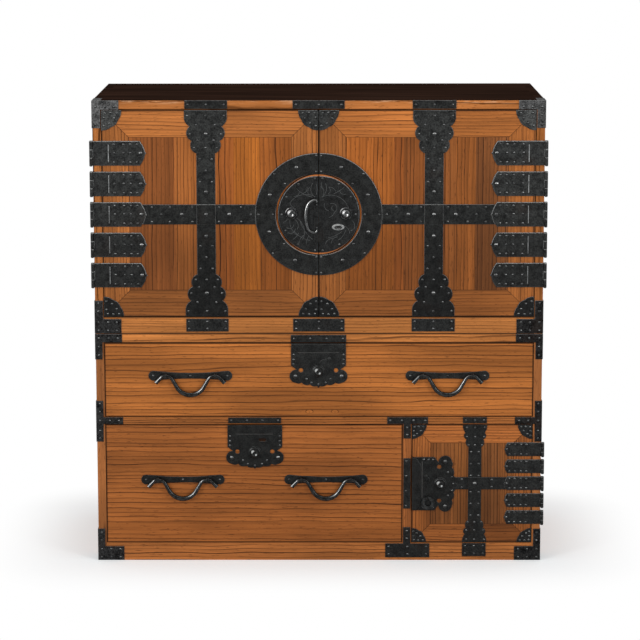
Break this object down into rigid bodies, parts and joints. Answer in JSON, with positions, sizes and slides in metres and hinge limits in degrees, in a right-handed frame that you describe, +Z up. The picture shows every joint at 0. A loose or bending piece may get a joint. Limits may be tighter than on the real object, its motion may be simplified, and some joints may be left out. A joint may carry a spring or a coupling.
{
  "type": "isho clothing chest",
  "caption": "Two-tier wooden clothing chest with double doors over drawers and a side cupboard, with iron straps, lock plates and bail handles.",
  "frame": {"origin": "centre of the footprint on the floor, on the underside of the middle base bearer", "axes": "+Z up, +Y towards the back, +X to the right as seen from the front"},
  "size_m": [1.096, 0.471, 1.13],
  "materials": {
    "front_wood": "amber lacquer over straight-grained wood",
    "case_wood": "lacquered boards, darker on the top",
    "inner_wood": "plain planed wood",
    "iron": "blackened wrought iron"
  },
  "bodies": {
    "case": {"upper_top_board": "case_wood", "upper_sides": "case_wood", "upper_front_rail": "front_wood", "upper_bottom_board": "inner_wood", "upper_back_panel": "inner_wood", "lower_top_board": "case_wood", "lower_sides": "case_wood", "lower_front_rail": "front_wood", "lower_bottom_board": "inner_wood", "base_bearers": "inner_wood", "lower_mid_board": "case_wood", "lower_divider": "case_wood", "lower_back_panel": "inner_wood", "shelves": "inner_wood", "shelf_cleats": "inner_wood", "corner_irons": "iron", "rail_plates": "iron", "hinge_case_leaves": "iron", "hinge_pins": "iron"},
    "left_door": {"left_door_frame": "front_wood", "left_door_panel": "front_wood", "left_door_hinge_straps": "iron", "left_door_straps": "iron", "left_lock_ring": "iron", "left_lock_disc": "iron", "left_lock_boss": "iron", "left_lock_band": "iron"},
    "right_door": {"right_door_frame": "front_wood", "right_door_panel": "front_wood", "right_door_hinge_straps": "iron", "right_door_straps": "iron", "right_lock_ring": "iron", "right_lock_disc": "iron", "right_lock_boss": "iron", "right_lock_band": "iron"},
    "small_door": {"small_door_frame": "front_wood", "small_door_panel": "front_wood", "small_door_hinge_straps": "iron", "small_door_straps": "iron", "small_door_lock_plate": "iron"},
    "top_drawer": {"top_drawer_front": "front_wood", "top_drawer_carcass": "inner_wood", "top_drawer_bottom": "inner_wood", "top_drawer_lock_plate": "iron", "top_drawer_handle_plates": "iron"},
    "low_drawer": {"low_drawer_front": "front_wood", "low_drawer_carcass": "inner_wood", "low_drawer_bottom": "inner_wood", "low_drawer_lock_plate": "iron", "low_drawer_handle_plates": "iron"},
    "lock_pull": {"lock_pull": "iron"},
    "ring_pull": {"small_door_ring_pull": "iron"},
    "small_key_cover": {"small_door_key_cover": "iron"},
    "top_key_cover": {"top_drawer_key_cover": "iron"},
    "top_left_bail": {"top_drawer_left_bail": "iron"},
    "top_right_bail": {"top_drawer_right_bail": "iron"},
    "low_left_bail": {"low_drawer_left_bail": "iron"},
    "low_right_bail": {"low_drawer_right_bail": "iron"}
  },
  "joints": [
    {"name": "left_door_hinge", "type": "hinge", "parent": "case", "child": "left_door", "pos_m": [-0.544, -0.2315, 0.856], "axis": [0, 0, -1], "range_deg": [0, 180]},
    {"name": "right_door_hinge", "type": "hinge", "parent": "case", "child": "right_door", "pos_m": [0.544, -0.2315, 0.856], "axis": [0, 0, 1], "range_deg": [0, 180]},
    {"name": "small_door_hinge", "type": "hinge", "parent": "case", "child": "small_door", "pos_m": [0.544, -0.2315, 0.1935], "axis": [0, 0, 1], "range_deg": [0, 180]},
    {"name": "top_drawer_slide", "type": "slide", "parent": "case", "child": "top_drawer", "axis": [0, -1, 0], "range_m": [0, 0.36]},
    {"name": "low_drawer_slide", "type": "slide", "parent": "case", "child": "low_drawer", "axis": [0, -1, 0], "range_m": [0, 0.36]},
    {"name": "lock_pull_hinge", "type": "hinge", "parent": "left_door", "child": "lock_pull", "pos_m": [-0.004, -0.2356, 0.8535], "axis": [0, 0, 1], "range_deg": [0, 90]},
    {"name": "ring_pull_hinge", "type": "hinge", "parent": "small_door", "child": "ring_pull", "pos_m": [0.2658, -0.2341, 0.1576], "axis": [-1, 0, 0], "range_deg": [0, 170]},
    {"name": "small_key_cover_pivot", "type": "hinge", "parent": "small_door", "child": "small_key_cover", "pos_m": [0.261, -0.2299, 0.211], "axis": [0, -1, 0], "range_deg": [0, 90]},
    {"name": "top_key_cover_pivot", "type": "hinge", "parent": "top_drawer", "child": "top_key_cover", "pos_m": [0.025, -0.2299, 0.5035], "axis": [0, 1, 0], "range_deg": [0, 45]},
    {"name": "top_left_bail_hinge", "type": "hinge", "parent": "top_drawer", "child": "top_left_bail", "pos_m": [-0.3115, -0.2365, 0.4615], "axis": [-1, 0, 0], "range_deg": [0, 170]},
    {"name": "top_right_bail_hinge", "type": "hinge", "parent": "top_drawer", "child": "top_right_bail", "pos_m": [0.3115, -0.2365, 0.4615], "axis": [-1, 0, 0], "range_deg": [0, 170]},
    {"name": "low_left_bail_hinge", "type": "hinge", "parent": "low_drawer", "child": "low_left_bail", "pos_m": [-0.332, -0.2365, 0.203], "axis": [-1, 0, 0], "range_deg": [0, 170]},
    {"name": "low_right_bail_hinge", "type": "hinge", "parent": "low_drawer", "child": "low_right_bail", "pos_m": [0.017, -0.2365, 0.203], "axis": [-1, 0, 0], "range_deg": [0, 170]}
  ]
}
